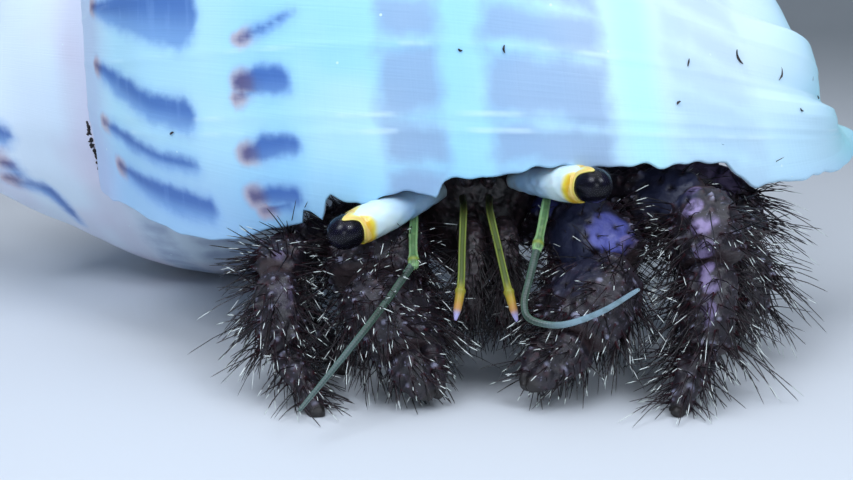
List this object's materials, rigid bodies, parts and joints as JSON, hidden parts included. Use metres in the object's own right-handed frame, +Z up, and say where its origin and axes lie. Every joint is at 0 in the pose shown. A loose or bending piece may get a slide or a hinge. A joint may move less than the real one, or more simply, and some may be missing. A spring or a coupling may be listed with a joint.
{
  "type": "hermit crab model",
  "caption": "Life-size still model of a hermit crab crouching under the chipped lip of a large pale spiral sea shell, with bristly legs, claws, long eyestalks and feelers.",
  "frame": {"origin": "middle of the model's box on the floor it rests on", "axes": "+Z up, -Y the way the crab faces, +X the crab's left and along the shell from its spire to its open end"},
  "size_m": [0.1044, 0.0848, 0.0563],
  "materials": {
    "shell_glaze": "smooth pale bluish-white shell with slate and violet blotches",
    "limb_plate": "dark brown-violet limb plates with bristles",
    "limb_knee_lilac": "lilac-blue knee plates",
    "breast_and_mouth": "grey-mauve body and mouthparts",
    "soft_abdomen": "soft fleshy abdomen",
    "eyestalk_pale": "pale blue-white eyestalks with a yellow collar",
    "cornea_black": "glossy black eyes",
    "feeler_olive": "yellow-green feelers",
    "flagellum_blue_grey": "blue-grey long feelers"
  },
  "bodies": {
    "root": {"abdomen": "soft_abdomen", "antenna_flagellum_left": "flagellum_blue_grey", "antenna_flagellum_right": "flagellum_blue_grey", "antenna_peduncle_left": "feeler_olive", "antenna_peduncle_right": "feeler_olive", "antennule_left": "feeler_olive", "antennule_right": "feeler_olive", "cephalothorax": "breast_and_mouth", "cheliped_left_carpus": "limb_knee_lilac", "cheliped_left_fixed_finger": "limb_plate", "cheliped_left_merus": "limb_plate", "cheliped_left_movable_finger": "limb_plate", "cheliped_left_palm": "limb_plate", "cheliped_right_carpus": "limb_knee_lilac", "cheliped_right_fixed_finger": "limb_plate", "cheliped_right_merus": "limb_plate", "cheliped_right_movable_finger": "limb_plate", "cheliped_right_palm": "limb_plate", "cornea_left": "cornea_black", "cornea_right": "cornea_black", "eyestalk_left": "eyestalk_pale", "eyestalk_right": "eyestalk_pale", "leg_2_left_carpus": "limb_knee_lilac", "leg_2_left_dactyl": "limb_plate", "leg_2_left_merus": "limb_plate", "leg_2_left_propodus": "limb_plate", "leg_2_right_carpus": "limb_knee_lilac", "leg_2_right_dactyl": "limb_plate", "leg_2_right_merus": "limb_plate", "leg_2_right_propodus": "limb_plate", "leg_3_left_carpus": "limb_knee_lilac", "leg_3_left_dactyl": "limb_plate", "leg_3_left_merus": "limb_plate", "leg_3_left_propodus": "limb_plate", "leg_3_right_carpus": "limb_knee_lilac", "leg_3_right_dactyl": "limb_plate", "leg_3_right_merus": "limb_plate", "leg_3_right_propodus": "limb_plate", "leg_4_left": "breast_and_mouth", "leg_4_right": "breast_and_mouth", "leg_5_left": "breast_and_mouth", "leg_5_right": "breast_and_mouth", "maxilliped_left": "breast_and_mouth", "maxilliped_right": "breast_and_mouth", "ocular_acicle_left": "limb_plate", "ocular_acicle_right": "limb_plate", "shell": "shell_glaze"}
  },
  "joints": []
}
